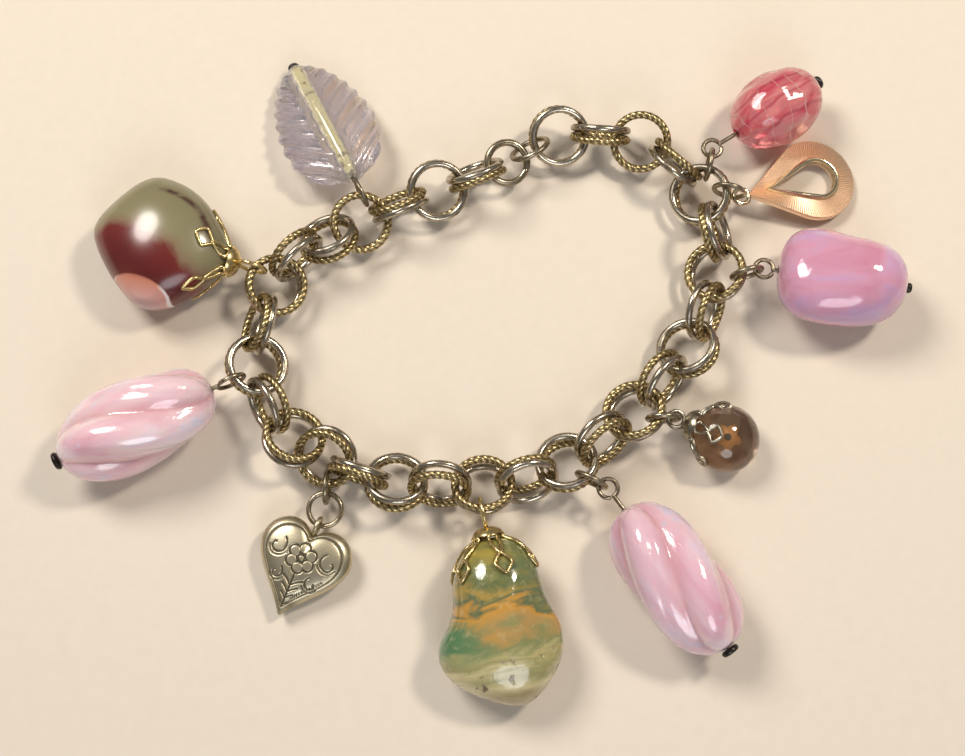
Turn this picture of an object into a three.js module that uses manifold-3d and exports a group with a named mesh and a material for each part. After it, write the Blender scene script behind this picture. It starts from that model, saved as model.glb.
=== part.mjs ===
// A charm bracelet laid in an open loop: a double-link chain, two closing rings and ten charms.
// Millimetres, +Z up. The origin is under the middle of the whole bracelet, on the surface it lies on.
import * as THREE from 'three';
import { mergeVertices } from 'three/addons/utils/BufferGeometryUtils.js';
import Module from 'manifold-3d';

const wasm = await Module();
wasm.setup();

// ---------------------------------------------------------------- driving dimensions
// Chain: every link is a plain ring beside a twisted-wire ring of the same size.
const LINK_COUNT = 30;
const LINK_RADIUS = 3.75; // to the middle of the wire
const LINK_WIRE = 0.92;
const PAIR_OFFSET = 0.62; // each ring of a pair from the link's centre, along the link's axis
const PAIR_SPLAY = 4; // degrees that each ring of a pair leans, so that the pair opens on one side
const CLEARANCE = 0.7; // between the wires of neighbouring links, with room for the curve of the chain
const OPEN_ROLL = 26; // degrees that the first link lies off the surface
const LINK_TURN = 90; // degrees between one link's plane and the next one's
const TURNOVER_TURN = 60; // the same where the chain turns over
const TURNOVER_SLACK = 0.55; // more clearance where the chain turns over
const TURNOVERS = [
  { from: 17, to: 20 },
  { from: 24, to: 27 },
];

// Links whose two rings stand apart on the outer side of the chain. The others open inwards, and so does
// every link that carries a charm on its outer side.
const OPEN_OUTWARDS = [1, 3, 6, 9, 14, 17, 20, 23, 25, 28, 30];
const LEVEL_DROP = 0.25; // of the flat links below the steepest link's resting height

// The two single rings that close the bracelet.
const CLASP_RADIUS = 2.75;
const CLASP_WIRE = 1;
const CLASP_ROLL = 20;
const END_RADIUS = 2.65;
const END_WIRE = 0.8;
const END_ROLL = -52;
const END_SLACK = 0.2;

// Jump rings, loops and pins of the charms.
const JUMP_RADIUS = 2.05;
const JUMP_WIRE = 0.7;
const JUMP_SEAT = 0.6; // from a link's wire to the centre of the jump ring round it
const LONG_LOOP_RADIUS = 1.9; // of a loop that goes straight round a link, with no jump ring
const LONG_LOOP_SEAT = 0.5;
const LOOP_RADIUS = 1.25;
const LOOP_WIRE = 0.6;
const LOOP_PLAY = 0.25; // between a loop and the jump ring that it hangs on
const PIN_RADIUS = 0.35;
const BORE_RADIUS = 0.65;
const PIN_HEAD_RADIUS = 1.2;
const PIN_HEAD_THICK = 0.5;
const PIECE_GAP = 0.3;

// The way that the chain lies, as points round the loop. It is scaled to the chain's own length.
const ROUTE = [
  [10.5, 37.2], [22.3, 36.4], [29.2, 31.3], [32.7, 22.9], [32.6, 13.9], [28.9, 5.6],
  [21.8, -3.4], [13.6, -10.5], [3.5, -14.6], [-7.8, -15.1], [-19.5, -12.8], [-29.6, -6.3],
  [-33.1, 1.3], [-32.3, 10.2], [-28.2, 18.2], [-20.4, 22.9], [-9.5, 27.8], [1.4, 32.3],
];

const RING_SEGMENTS = 12;
const WIRE_SIDES = 5;
const WIRE_CORNER = 1.08; // how far out the corners of a few-sided wire stand, as a share of its radius

// ---------------------------------------------------------------- materials
const finish = (color, roughness, metalness) =>
  new THREE.MeshStandardMaterial({ color, roughness, metalness });
const antiqueMetal = finish(0x8a7650, 0.38, 1);
const darkPin = finish(0x2b2622, 0.45, 1);
const capMetal = finish(0xb59a5c, 0.35, 1);
const heartMetal = finish(0x8c8266, 0.4, 1);
const plateMetal = finish(0xe0b27c, 0.3, 1);
const leafGlass = finish(0xc9b4cf, 0.12, 0);
const agateStone = finish(0x7d5a45, 0.18, 0);
const twistGlass = finish(0xe0b6c2, 0.2, 0);
const jasperStone = finish(0x9fa083, 0.22, 0);
const smokyGlass = finish(0x8d6b52, 0.12, 0);
const nuggetGlass = finish(0xd39ac0, 0.16, 0);
const crackleGlass = finish(0xd9647a, 0.15, 0);

// ---------------------------------------------------------------- helpers
const radians = THREE.MathUtils.degToRad;
const UP = new THREE.Vector3(0, 0, 1);

const bracelet = new THREE.Group();

function addMesh(name, geometry, material, parent = bracelet) {
  const mesh = new THREE.Mesh(geometry, material);
  mesh.name = name;
  parent.add(mesh);
  return mesh;
}

// A closed mesh with its shared corners merged, as a solid that can be joined and cut.
function solidOf(geometry) {
  const bare = geometry.clone();
  bare.deleteAttribute('normal');
  bare.deleteAttribute('uv');
  const merged = mergeVertices(bare, 1e-4);
  return new wasm.Manifold(new wasm.Mesh({
    numProp: 3,
    vertProperties: new Float32Array(merged.attributes.position.array),
    triVerts: new Uint32Array(merged.index.array),
  }));
}

function geometryOf(solid) {
  const mesh = solid.getMesh();
  const geometry = new THREE.BufferGeometry();
  geometry.setAttribute('position', new THREE.BufferAttribute(new Float32Array(mesh.vertProperties), 3));
  geometry.setIndex(new THREE.BufferAttribute(new Uint32Array(mesh.triVerts), 1));
  geometry.computeVertexNormals();
  return geometry;
}

const joined = (geometries) => geometryOf(geometries.map(solidOf).reduce((all, next) => all.add(next)));
const cut = (geometry, tool) => geometryOf(solidOf(geometry).subtract(solidOf(tool)));

// A round-wire ring about the origin with its axis along Z. The wire's corners stand a little outside the
// round wire and its flats a little inside, and the ring's corners lie where neighbouring links cross.
function wireRing(radius, wire) {
  const tube = (wire / 2) * WIRE_CORNER;
  return new THREE.TorusGeometry(radius, tube, WIRE_SIDES, RING_SEGMENTS).rotateZ(Math.PI / RING_SEGMENTS);
}

// The turn and place that puts a ring's axis along `normal` and its centre at `centre`.
function ringPlace(centre, normal, along) {
  const axis = normal.clone().normalize();
  const first = along.clone().addScaledVector(axis, -along.dot(axis)).normalize();
  const second = axis.clone().cross(first);
  return new THREE.Matrix4().makeBasis(first, second, axis).setPosition(centre);
}

// A value read off a short row of evenly spaced values, at `place` from 0 to 1.
function between(row, place) {
  const at = THREE.MathUtils.clamp(place, 0, 1) * (row.length - 1);
  const start = Math.min(Math.floor(at), row.length - 2);
  return THREE.MathUtils.lerp(row[start], row[start + 1], at - start);
}

// A closed body along +X from x = 0 to `length`. `section(place, angle)` gives the point of the cross-section
// as [y, z] at `place` from 0 to 1. The rows crowd towards the two round ends.
function bodyAlongX(length, rows, sides, section) {
  const geometry = new THREE.SphereGeometry(1, sides, rows);
  const position = geometry.attributes.position;
  const point = new THREE.Vector3();
  for (let i = 0; i < position.count; i += 1) {
    point.fromBufferAttribute(position, i);
    const place = (1 - point.y) / 2;
    const angle = Math.atan2(point.z, point.x);
    const girth = Math.hypot(point.x, point.z);
    const [y, z] = girth < 1e-6 ? [0, 0] : section(place, angle, girth);
    position.setXYZ(i, place * length, y, z);
  }
  return geometry;
}

// How far out a barrel-shaped profile stands at `place`, from 0 at both ends to 1 in the middle.
function barrel(place, power) {
  const fromMiddle = Math.abs(2 * place - 1);
  return Math.pow(Math.max(0, 1 - Math.pow(fromMiddle, power)), 1 / power);
}

// ---------------------------------------------------------------- chain
// Half the length that one link takes up towards a neighbour turned by `turn` degrees about the chain.
// The wires of two pairs first meet where their rings cross, a little to the side of the chain's middle.
function linkReach(turn) {
  const crossing = PAIR_OFFSET / Math.sin(radians(turn / 2));
  return Math.sqrt(LINK_RADIUS ** 2 - (crossing ** 2 - PAIR_OFFSET ** 2));
}

const turnAfter = (link) =>
  TURNOVERS.some(({ from, to }) => link >= from && link < to) ? TURNOVER_TURN : LINK_TURN;
const halfWires = (first, second) => (first + second) / 2 + CLEARANCE;

// Each ring of the loop in order: how it is rolled about the chain, and how far on the next one's centre is.
const loop = [];
let roll = OPEN_ROLL;
for (let link = 1; link <= LINK_COUNT; link += 1) {
  const last = link === LINK_COUNT;
  const turn = turnAfter(link);
  const pitch = last
    ? linkReach(LINK_TURN) + CLASP_RADIUS - halfWires(LINK_WIRE, CLASP_WIRE)
    : 2 * linkReach(turn) - halfWires(LINK_WIRE, LINK_WIRE) - (turn === TURNOVER_TURN ? TURNOVER_SLACK : 0);
  loop.push({ roll, pitch });
  roll += turn;
}
const claspPitch = CLASP_RADIUS + END_RADIUS - halfWires(CLASP_WIRE, END_WIRE);
const endPitch = END_RADIUS + linkReach(LINK_TURN) - halfWires(END_WIRE, LINK_WIRE) - END_SLACK;
loop.push({ roll: CLASP_ROLL, pitch: claspPitch }, { roll: END_ROLL, pitch: endPitch });

const chainLength = loop.reduce((sum, ring) => sum + ring.pitch, 0);
const routeOf = (scale) => {
  const points = ROUTE.map(([x, y]) => new THREE.Vector3(x * scale, y * scale, 0));
  const curve = new THREE.CatmullRomCurve3(points, true, 'centripetal');
  curve.arcLengthDivisions = 2000;
  return curve;
};
const route = routeOf(chainLength / routeOf(1).getLength());

// A ring's own directions: along the chain, outwards in the ring's plane, and along the ring's axis.
let travelled = 0;
for (const ring of loop) {
  const place = travelled / chainLength;
  ring.centre = route.getPointAt(place);
  ring.along = route.getTangentAt(place);
  const side = UP.clone().cross(ring.along);
  ring.out = side.clone().applyAxisAngle(ring.along, radians(ring.roll)).normalize();
  if (ring.out.dot(side) < 0) ring.out.negate();
  ring.axis = ring.along.clone().cross(ring.out).normalize();
  travelled += ring.pitch;
}

// The two rings of a link touch on one side and stand apart on the other. `opens` is 1 when they open
// outwards and -1 when they open inwards.
function linkGeometry(ring) {
  const rings = [1, -1].map((sign) => {
    const centre = ring.centre.clone().addScaledVector(ring.axis, sign * PAIR_OFFSET);
    const axis = ring.axis.clone().applyAxisAngle(ring.along, sign * ring.opens * radians(PAIR_SPLAY));
    return wireRing(LINK_RADIUS, LINK_WIRE).applyMatrix4(ringPlace(centre, axis, ring.along));
  });
  return joined(rings);
}

const singleRing = (ring, radius, wire) =>
  wireRing(radius, wire).applyMatrix4(ringPlace(ring.centre, ring.axis, ring.along));

// Steep links rest on the surface. The flatter ones between them are held up level with the lowest of those.
const links = loop.slice(0, LINK_COUNT);
const [claspRing, endRing] = loop.slice(LINK_COUNT);
links.forEach((ring, i) => {
  ring.opens = OPEN_OUTWARDS.includes(i + 1) ? 1 : -1;
  const flat = linkGeometry(ring);
  flat.computeBoundingBox();
  ring.restHeight = -flat.boundingBox.min.z;
});
const levelHeight = Math.max(...links.map((ring) => ring.restHeight)) - LEVEL_DROP;
for (const ring of links) ring.centre.z = Math.max(ring.restHeight, levelHeight);
for (const ring of [claspRing, endRing]) ring.centre.z = levelHeight;

links.forEach((ring, i) => {
  addMesh(`link_${String(i + 1).padStart(2, '0')}`, linkGeometry(ring), antiqueMetal);
});
addMesh('clasp_ring', singleRing(claspRing, CLASP_RADIUS, CLASP_WIRE), antiqueMetal);
addMesh('end_ring', singleRing(endRing, END_RADIUS, END_WIRE), antiqueMetal);

// ---------------------------------------------------------------- hanging a charm
// The point of a link's wires where a jump ring sits, `at` degrees round the link: 90 is its outer side,
// less is towards the next link and more towards the one before.
function seatOn(link, at) {
  const ring = loop[link - 1];
  return ring.centre.clone()
    .addScaledVector(ring.along, LINK_RADIUS * Math.cos(radians(at)))
    .addScaledVector(ring.out, LINK_RADIUS * Math.sin(radians(at)));
}

// The height of a charm's own origin when its lowest point touches the surface.
function restingHeight(charm) {
  charm.updateMatrixWorld(true);
  return -new THREE.Box3().setFromObject(charm, true).min.z;
}

const levelBearing = (degrees) => new THREE.Vector3(1, 0, 0).applyAxisAngle(UP, radians(degrees));

// Lays a charm down with a jump ring, standing on edge, between it and the chain. The charm's origin is the
// centre of its own flat loop and its +X runs away from the chain. `lead` is the bearing of that loop from
// the link, and `lie` and `dip` are the bearing and the downward slope of the charm.
function hang(charm, { name, link, at, lead, lie, dip = 0, loopRadius = LOOP_RADIUS, loopWire = LOOP_WIRE }) {
  charm.rotation.set(0, radians(dip), radians(lie), 'ZYX');
  const seat = seatOn(link, at);
  const bearing = levelBearing(lead);
  const loopAxis = UP.clone().applyEuler(charm.rotation);
  const toNear = bearing.clone().negate().addScaledVector(loopAxis, bearing.dot(loopAxis)).normalize();
  const height = restingHeight(charm);
  const nearToSeat = JUMP_SEAT + JUMP_RADIUS - JUMP_WIRE / 2 - LOOP_PLAY - loopWire / 2;
  const rise = (height + loopRadius * toNear.z - seat.z) / nearToSeat;
  const pull = bearing.clone().multiplyScalar(Math.sqrt(1 - rise ** 2)).addScaledVector(UP, rise);
  charm.position.copy(seat).addScaledVector(pull, nearToSeat).addScaledVector(toNear, -loopRadius);
  bracelet.add(charm);
  const jumpCentre = seat.clone().addScaledVector(pull, JUMP_SEAT);
  addMesh(`${name}_jump_ring`, wireRing(JUMP_RADIUS, JUMP_WIRE)
    .applyMatrix4(ringPlace(jumpCentre, UP.clone().cross(bearing), bearing)), antiqueMetal);
}

// Lays a charm down with its own standing loop straight round the link.
function hangDirect(charm, { link, at, lie, dip = 0, seatDepth }) {
  charm.rotation.set(0, radians(dip), radians(lie), 'ZYX');
  const seat = seatOn(link, at);
  const height = restingHeight(charm);
  const rise = (height - seat.z) / seatDepth;
  charm.position.copy(seat).addScaledVector(levelBearing(lie), seatDepth * Math.sqrt(1 - rise ** 2));
  charm.position.z = height;
  bracelet.add(charm);
}

// ---------------------------------------------------------------- pieces of a charm
const turnedToX = (geometry) => geometry.rotateZ(-Math.PI / 2);

// The loop at a charm's near end, about the charm's origin. It lies flat for a jump ring, or it is a long one
// that stands on edge, for a link. `neck` is bare wire before the bead, and `lift` is how far the bead's axis
// runs above the loop's centre.
const flatLoop = { radius: LOOP_RADIUS, wire: LOOP_WIRE, stands: false, neck: 0, lift: 0 };
const longLoop = { ...flatLoop, radius: LONG_LOOP_RADIUS, stands: true };
const bodyStart = (loopEnd) => loopEnd.radius + loopEnd.wire / 2 + PIECE_GAP + loopEnd.neck;

function loopGeometry({ radius, wire, stands }) {
  const ring = wireRing(radius, wire);
  return stands ? ring.rotateX(Math.PI / 2) : ring;
}

// A head pin: the loop, a shank along +X and a round head past the bead.
function headPin(beadLength, loopEnd) {
  const shankX = Math.sqrt(loopEnd.radius ** 2 - loopEnd.lift ** 2);
  const headX = bodyStart(loopEnd) + beadLength + PIECE_GAP;
  const shankLength = headX - shankX + PIN_HEAD_THICK / 2;
  const shank = turnedToX(new THREE.CylinderGeometry(PIN_RADIUS, PIN_RADIUS, shankLength, 6));
  shank.translate(shankX + shankLength / 2, 0, loopEnd.lift);
  const head = turnedToX(new THREE.CylinderGeometry(PIN_HEAD_RADIUS, PIN_HEAD_RADIUS, PIN_HEAD_THICK, 10));
  head.translate(headX + PIN_HEAD_THICK / 2, 0, loopEnd.lift);
  return joined([loopGeometry(loopEnd), shank, head]);
}

// A charm made of a bead drilled along its length and the pin through it.
function beadOnPin(name, length, body, material, loopEnd = flatLoop) {
  const charm = new THREE.Group();
  const bore = turnedToX(new THREE.CylinderGeometry(BORE_RADIUS, BORE_RADIUS, length + 4, 8));
  bore.translate(length / 2, 0, 0);
  const bead = cut(body, bore).translate(bodyStart(loopEnd), 0, loopEnd.lift);
  addMesh(`${name}_headpin`, headPin(length, loopEnd), darkPin, charm);
  addMesh(`${name}_bead`, bead, material, charm);
  return charm;
}

// A bell cap seen as a solid dome with its flat side to the stone, and a loop on its crown.
const CAP_RADIUS = 2.1;
const CAP_HEIGHT = 1.1;
const CAP_LOOP_RADIUS = 1.1;
const capLoop = { ...flatLoop, radius: CAP_LOOP_RADIUS };
function bellCap(loopEnd) {
  const profile = [[0, 0], [1, 0], [0.85, 0.55], [0.4, 1], [0, 1]]
    .map(([out, up]) => new THREE.Vector2(out * CAP_RADIUS, up * CAP_HEIGHT));
  const dome = new THREE.LatheGeometry(profile, 10);
  dome.rotateZ(Math.PI / 2).translate(loopEnd.radius + CAP_HEIGHT, 0, 0);
  return joined([dome, loopGeometry(loopEnd)]);
}

// A charm made of a stone and the cap glued over its narrow end.
function cappedStone({ name, bodyName, body, material, loopEnd = capLoop }) {
  const charm = new THREE.Group();
  addMesh(`${name}_bell_cap`, bellCap(loopEnd), capMetal, charm);
  addMesh(bodyName, body.translate(loopEnd.radius + CAP_HEIGHT + PIECE_GAP, 0, 0), material, charm);
  return charm;
}

// A tumbled stone: rows of values along its length give how far it reaches to each side, `above` is its
// reach up and down, and `power` squares its cross-section off a little. Its underside is worn flat, at
// `-below` under its near end, and slopes by `dip` so that it is level once the charm is laid down.
function tumbledStone({ length, left, right, above, below, power, endPower, dip }) {
  return bodyAlongX(length, 10, 14, (place, angle) => {
    const reach = barrel(place, endPower);
    const [c, s] = [Math.cos(angle), Math.sin(angle)];
    const squared = Math.pow(Math.abs(c) ** power + Math.abs(s) ** power, -1 / power);
    const width = c > 0 ? between(left, place) : between(right, place);
    const underside = place * length * Math.tan(radians(dip)) - below;
    return [reach * width * squared * c, Math.max(underside, reach * above * squared * s)];
  });
}

// ---------------------------------------------------------------- charms
// Pressed-glass leaf: broad near the base, pointed at the tip, thicker along its vein.
const LEAF = { length: 20.4, width: 7, thick: 2.5 };
const leafBody = bodyAlongX(LEAF.length, 12, 12, (place, angle) => {
  const reach = Math.pow(barrel(place, 2), 0.85) * (1 - 0.32 * place) * 1.18;
  return [LEAF.width * reach * Math.cos(angle), LEAF.thick * Math.sqrt(reach) * Math.sin(angle)];
});
hangDirect(beadOnPin('leaf', LEAF.length, leafBody, leafGlass, longLoop),
  { link: 27, at: 62, lie: 117, dip: 9, seatDepth: LONG_LOOP_SEAT });

// Long pressed-glass beads: a barrel with four lobes that twist along it.
const TWIST = { length: 22, radius: 5.5, lobes: 4, lobeDepth: 0.14, twist: 210, power: 2.3 };
const twistBody = () => bodyAlongX(TWIST.length, 10, 20, (place, angle) => {
  const lobe = 1 + TWIST.lobeDepth * Math.cos(TWIST.lobes * (angle - radians(TWIST.twist) * place / 2));
  const reach = TWIST.radius * barrel(place, TWIST.power) * lobe;
  return [reach * Math.cos(angle), reach * Math.sin(angle)];
});
hangDirect(beadOnPin('left_twist', TWIST.length, twistBody(), twistGlass, { ...longLoop, lift: 0.6 }),
  { link: 22, at: 122, lie: 206, seatDepth: LONG_LOOP_SEAT });
hang(beadOnPin('right_twist', TWIST.length, twistBody(), twistGlass, { ...flatLoop, neck: 1.5 }),
  { name: 'right_twist', link: 13, at: 110, lead: -27, lie: -54 });

// Smooth nugget bead: a rounded, slightly uneven barrel.
const NUGGET = { length: 17.4, width: 7, thick: 5.6, power: 2.6 };
const nuggetBody = bodyAlongX(NUGGET.length, 10, 14, (place, angle) => {
  const reach = barrel(place, NUGGET.power) * (1 + 0.06 * Math.cos(2 * angle + 4 * place));
  return [NUGGET.width * reach * Math.cos(angle), NUGGET.thick * reach * Math.sin(angle)];
});
hang(beadOnPin('nugget', NUGGET.length, nuggetBody, nuggetGlass),
  { name: 'nugget', link: 7, at: 84, lead: 14, lie: -8 });

// Crackle glass bead: a plain oval.
const CRACKLE = { length: 13.8, radius: 5.2, power: 2.2 };
const crackleBody = bodyAlongX(CRACKLE.length, 10, 14, (place, angle) => {
  const reach = CRACKLE.radius * barrel(place, CRACKLE.power);
  return [reach * Math.cos(angle), reach * Math.sin(angle)];
});
hang(beadOnPin('crackle', CRACKLE.length, crackleBody, crackleGlass, { ...flatLoop, neck: 2.2 }),
  { name: 'crackle', link: 5, at: 136, lead: 78, lie: 33 });

// Agate pebble in a bell cap whose loop goes straight round the link.
const AGATE = {
  length: 19.5, left: [6, 8.5, 9.2, 7.6, 5], right: [6, 8, 9, 9.6, 6],
  above: 5.3, below: 5.1, power: 2.2, endPower: 1.9, dip: 3,
};
hangDirect(cappedStone({
  name: 'agate', bodyName: 'agate_stone', body: tumbledStone(AGATE), material: agateStone, loopEnd: longLoop,
}), { link: 24, at: 78, lie: 165, dip: AGATE.dip, seatDepth: LONG_LOOP_SEAT });

// Jasper pebble: narrow at the cap, widest below its middle, with one cut-off corner.
const JASPER = {
  length: 21.6, left: [6.5, 6.2, 5.9, 7, 6.8, 4.7], right: [6.5, 6.5, 6.7, 9.4, 9.4, 6],
  above: 5.3, below: 5.1, power: 2.3, endPower: 2.3, dip: 4,
};
hangDirect(cappedStone({
  name: 'jasper', bodyName: 'jasper_stone', body: tumbledStone(JASPER),
  material: jasperStone, loopEnd: longLoop,
}), { link: 15, at: 84, lie: -78, dip: JASPER.dip, seatDepth: LONG_LOOP_SEAT });

// Small clear bead: a flattened ball.
const CLEAR = {
  length: 9.2, left: [4.6, 4.6], right: [4.6, 4.6], above: 3.7, below: 3.7, power: 2, endPower: 2, dip: 6,
};
hang(cappedStone({
  name: 'clear', bodyName: 'clear_bead', body: tumbledStone(CLEAR), material: smokyGlass,
}), { name: 'clear', link: 11, at: 114, lead: 0, lie: -20, dip: CLEAR.dip, loopRadius: CAP_LOOP_RADIUS });

// Puffed heart with a bail that stands on edge and hangs on its own flat ring.
const HEART = { width: 12.5, height: 12.3, thick: 4, bailRadius: 1.15, bailWire: 0.6 };
const HEART_RING_RADIUS = 2.15;
// The outline runs once round the heart as its parameter goes from 0 to 360 degrees, notch first.
function heartOutline(turn) {
  const across = 0.8 * Math.sin(turn) ** 3 + 0.2 * Math.sin(turn);
  const lobes = 13 * Math.cos(turn) - 3.6 * Math.cos(2 * turn);
  const up = (lobes - 1.2 * Math.cos(3 * turn) - 0.6 * Math.cos(4 * turn)) / 26;
  return [across * HEART.width / 2, up * HEART.height];
}
function heartBody() {
  const geometry = new THREE.SphereGeometry(1, 24, 6);
  const position = geometry.attributes.position;
  const point = new THREE.Vector3();
  const middle = -0.05 * HEART.height;
  for (let i = 0; i < position.count; i += 1) {
    point.fromBufferAttribute(position, i);
    const reach = Math.hypot(point.x, point.z);
    const [across, up] = heartOutline(Math.atan2(-point.x, point.z));
    const inner = Math.pow(reach, 0.8);
    position.setXYZ(i, -(middle + (up - middle) * inner), across * inner, point.y * HEART.thick / 2);
  }
  return geometry;
}
const heartCharm = new THREE.Group();
addMesh('heart_ring', wireRing(HEART_RING_RADIUS, JUMP_WIRE), antiqueMetal, heartCharm);
const bailStart = HEART_RING_RADIUS - JUMP_WIRE / 2 - LOOP_PLAY - HEART.bailWire / 2;
const bail = wireRing(HEART.bailRadius, HEART.bailWire).rotateX(Math.PI / 2);
bail.translate(bailStart + HEART.bailRadius, 0, 0);
const stem = turnedToX(new THREE.CylinderGeometry(0.4, 0.4, 0.22 * HEART.height, 6));
stem.translate(bailStart + 2 * HEART.bailRadius + 0.12 * HEART.height, 0, 0);
const heartX = bailStart + 2 * HEART.bailRadius + 0.31 * HEART.height;
addMesh('heart_charm', joined([heartBody().translate(heartX, 0, 0), stem, bail]), heartMetal, heartCharm);
hang(heartCharm, {
  name: 'heart', link: 19, at: 116.5, lead: -93, lie: -113, dip: 5,
  loopRadius: HEART_RING_RADIUS, loopWire: JUMP_WIRE,
});

// Open teardrop plate: flat sheet, pointed at its ring, with a pear-shaped hole.
const PLATE = { length: 16.6, radius: 5.9, holeStart: 3.6, holeRadius: 2.5, thick: 0.9 };
const EYE_RADIUS = 1.1;
const EYE_WIRE = 0.7;
function dropShape(shape, tip, roundX, radius) {
  const lean = Math.acos(radius / (roundX - tip));
  shape.moveTo(tip, 0);
  shape.lineTo(roundX - radius * Math.cos(lean), -radius * Math.sin(lean));
  shape.absarc(roundX, 0, radius, Math.PI + lean, Math.PI - lean, false);
  shape.closePath();
  return shape;
}
const plateRoundX = PLATE.length - PLATE.radius;
const plateShape = dropShape(new THREE.Shape(), 0, plateRoundX, PLATE.radius);
plateShape.holes.push(dropShape(new THREE.Path(), PLATE.holeStart, plateRoundX + 0.4, PLATE.holeRadius));
const plateCut = { depth: PLATE.thick, bevelEnabled: false, curveSegments: 10 };
const plate = new THREE.ExtrudeGeometry(plateShape, plateCut);
plate.translate(EYE_RADIUS - 0.2, 0, -PLATE.thick / 2);
const plateCharm = new THREE.Group();
addMesh('teardrop_plate', joined([plate, wireRing(EYE_RADIUS, EYE_WIRE)]), plateMetal, plateCharm);
hang(plateCharm, {
  name: 'teardrop', link: 5, at: 72, lead: -14, lie: 17, dip: 12, loopRadius: EYE_RADIUS, loopWire: EYE_WIRE,
});

// ---------------------------------------------------------------- origin under the middle
bracelet.updateMatrixWorld(true);
const middle = new THREE.Box3().setFromObject(bracelet, true).getCenter(new THREE.Vector3());
bracelet.position.set(-middle.x, -middle.y, 0);

export default bracelet;
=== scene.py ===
"""A charm bracelet laid in an open loop: double-ring links, two closing rings and ten charms."""

import bpy
import numpy as np
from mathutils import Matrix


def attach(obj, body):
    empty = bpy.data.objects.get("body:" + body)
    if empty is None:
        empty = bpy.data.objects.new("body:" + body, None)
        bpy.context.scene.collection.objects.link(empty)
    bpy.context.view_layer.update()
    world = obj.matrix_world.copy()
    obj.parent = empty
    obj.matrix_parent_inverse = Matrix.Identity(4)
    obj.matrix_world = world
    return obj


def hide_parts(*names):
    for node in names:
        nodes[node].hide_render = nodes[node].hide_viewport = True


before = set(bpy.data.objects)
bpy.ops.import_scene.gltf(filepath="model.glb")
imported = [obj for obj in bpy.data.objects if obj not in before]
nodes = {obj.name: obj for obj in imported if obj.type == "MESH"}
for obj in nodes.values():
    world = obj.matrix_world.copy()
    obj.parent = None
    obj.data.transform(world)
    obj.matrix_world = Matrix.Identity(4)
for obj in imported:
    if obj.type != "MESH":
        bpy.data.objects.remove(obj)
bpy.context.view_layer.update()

# -------------------- surface, light and camera
# The bracelet lies on a plain pale board. Three round soft boxes give the glass its highlights: a large
# warm one behind on the left, a small one behind on the right and a faint cool one in front. A dim room
# keeps the far sides of the metal dark.
MM = 0.001
BOARD_SIZE = 1600.0
BOARD_COLOR = (0.74, 0.66, 0.56, 1)
PICTURE_WIDTH = 130.5
LENS = 50.0
SENSOR = 36.0
ELEVATION = np.radians(77)
LOOK_AT = np.array([-0.7, -2.1, 3.0])
SOFT_BOXES = [
    {"at": (-210, 190, 330), "size": 170, "power": 1.35, "color": (1.0, 0.95, 0.88)},
    {"at": (190, 120, 300), "size": 60, "power": 0.7, "color": (1.0, 0.9, 0.78)},
    {"at": (60, -320, 260), "size": 220, "power": 0.45, "color": (0.9, 0.94, 1.0)},
]
ROOM_COLOR = (0.62, 0.6, 0.58, 1)
ROOM_STRENGTH = 0.3


def unit(vector):
    """The vector, or each row of vectors, at length one."""
    return vector / np.linalg.norm(vector, axis=-1, keepdims=True)


def shader_node(tree, kind, inputs=(), **settings):
    """Adds a shader node. `inputs` gives sockets a value, or the output that feeds them."""
    made = tree.nodes.new(kind)
    for name, value in settings.items():
        setattr(made, name, value)
    for socket, value in dict(inputs).items():
        if isinstance(value, bpy.types.NodeSocket):
            tree.links.new(value, made.inputs[socket])
        else:
            made.inputs[socket].default_value = value
    return made


def finish(name, **sockets):
    """A new material with a Principled shader. Its constant values go straight on the shader's sockets."""
    made = bpy.data.materials.new(name)
    made.use_nodes = True
    shader = made.node_tree.nodes["Principled BSDF"]
    for socket, value in sockets.items():
        shader.inputs[socket.replace("_", " ")].default_value = value
    return made, made.node_tree, shader


def feed(tree, output, shader, socket):
    """Joins an output to one of a shader's sockets."""
    tree.links.new(output, shader.inputs[socket])


def link_to_scene(name, data):
    """A new object that holds the data, at the origin."""
    made = bpy.data.objects.new(name, data)
    bpy.context.scene.collection.objects.link(made)
    return made


board_mesh = bpy.data.meshes.new("board")
half_board = BOARD_SIZE / 2 * MM
board_mesh.from_pydata(
    [(-half_board, -half_board, 0), (half_board, -half_board, 0),
     (half_board, half_board, 0), (-half_board, half_board, 0)], [], [(0, 1, 2, 3)])
board = link_to_scene("board", board_mesh)
board_finish, board_tree, board_shader = finish("board", Roughness=0.85, Specular_IOR_Level=0.2)
board_spot = shader_node(board_tree, "ShaderNodeMapping", {
    "Vector": shader_node(board_tree, "ShaderNodeTexCoord").outputs["Object"],
    "Location": (0.5, 0.5, 0.5), "Scale": [1 / (BOARD_SIZE * MM)] * 3}).outputs["Vector"]
board_grain = shader_node(board_tree, "ShaderNodeTexNoise", {"Vector": board_spot, "Scale": 900, "Detail": 3})
board_tint = shader_node(board_tree, "ShaderNodeMix", {
    "Factor": board_grain.outputs["Fac"], 6: BOARD_COLOR,
    7: tuple(0.94 * part for part in BOARD_COLOR[:3]) + (1,)}, data_type="RGBA")
feed(board_tree, board_tint.outputs[2], board_shader, "Base Color")
board_mesh.materials.append(board_finish)

for number, box in enumerate(SOFT_BOXES):
    light = bpy.data.lights.new(f"soft_box_{number}", "AREA")
    light.shape = "DISK"
    light.size = box["size"] * MM
    light.energy = box["power"]
    light.color = box["color"]
    lamp = link_to_scene(light.name, light)
    lamp.location = np.array(box["at"]) * MM
    aim = unit(-np.array(box["at"], float))
    lamp.rotation_euler = (np.arccos(-aim[2]), 0, np.arctan2(-aim[0], aim[1]))

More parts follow.
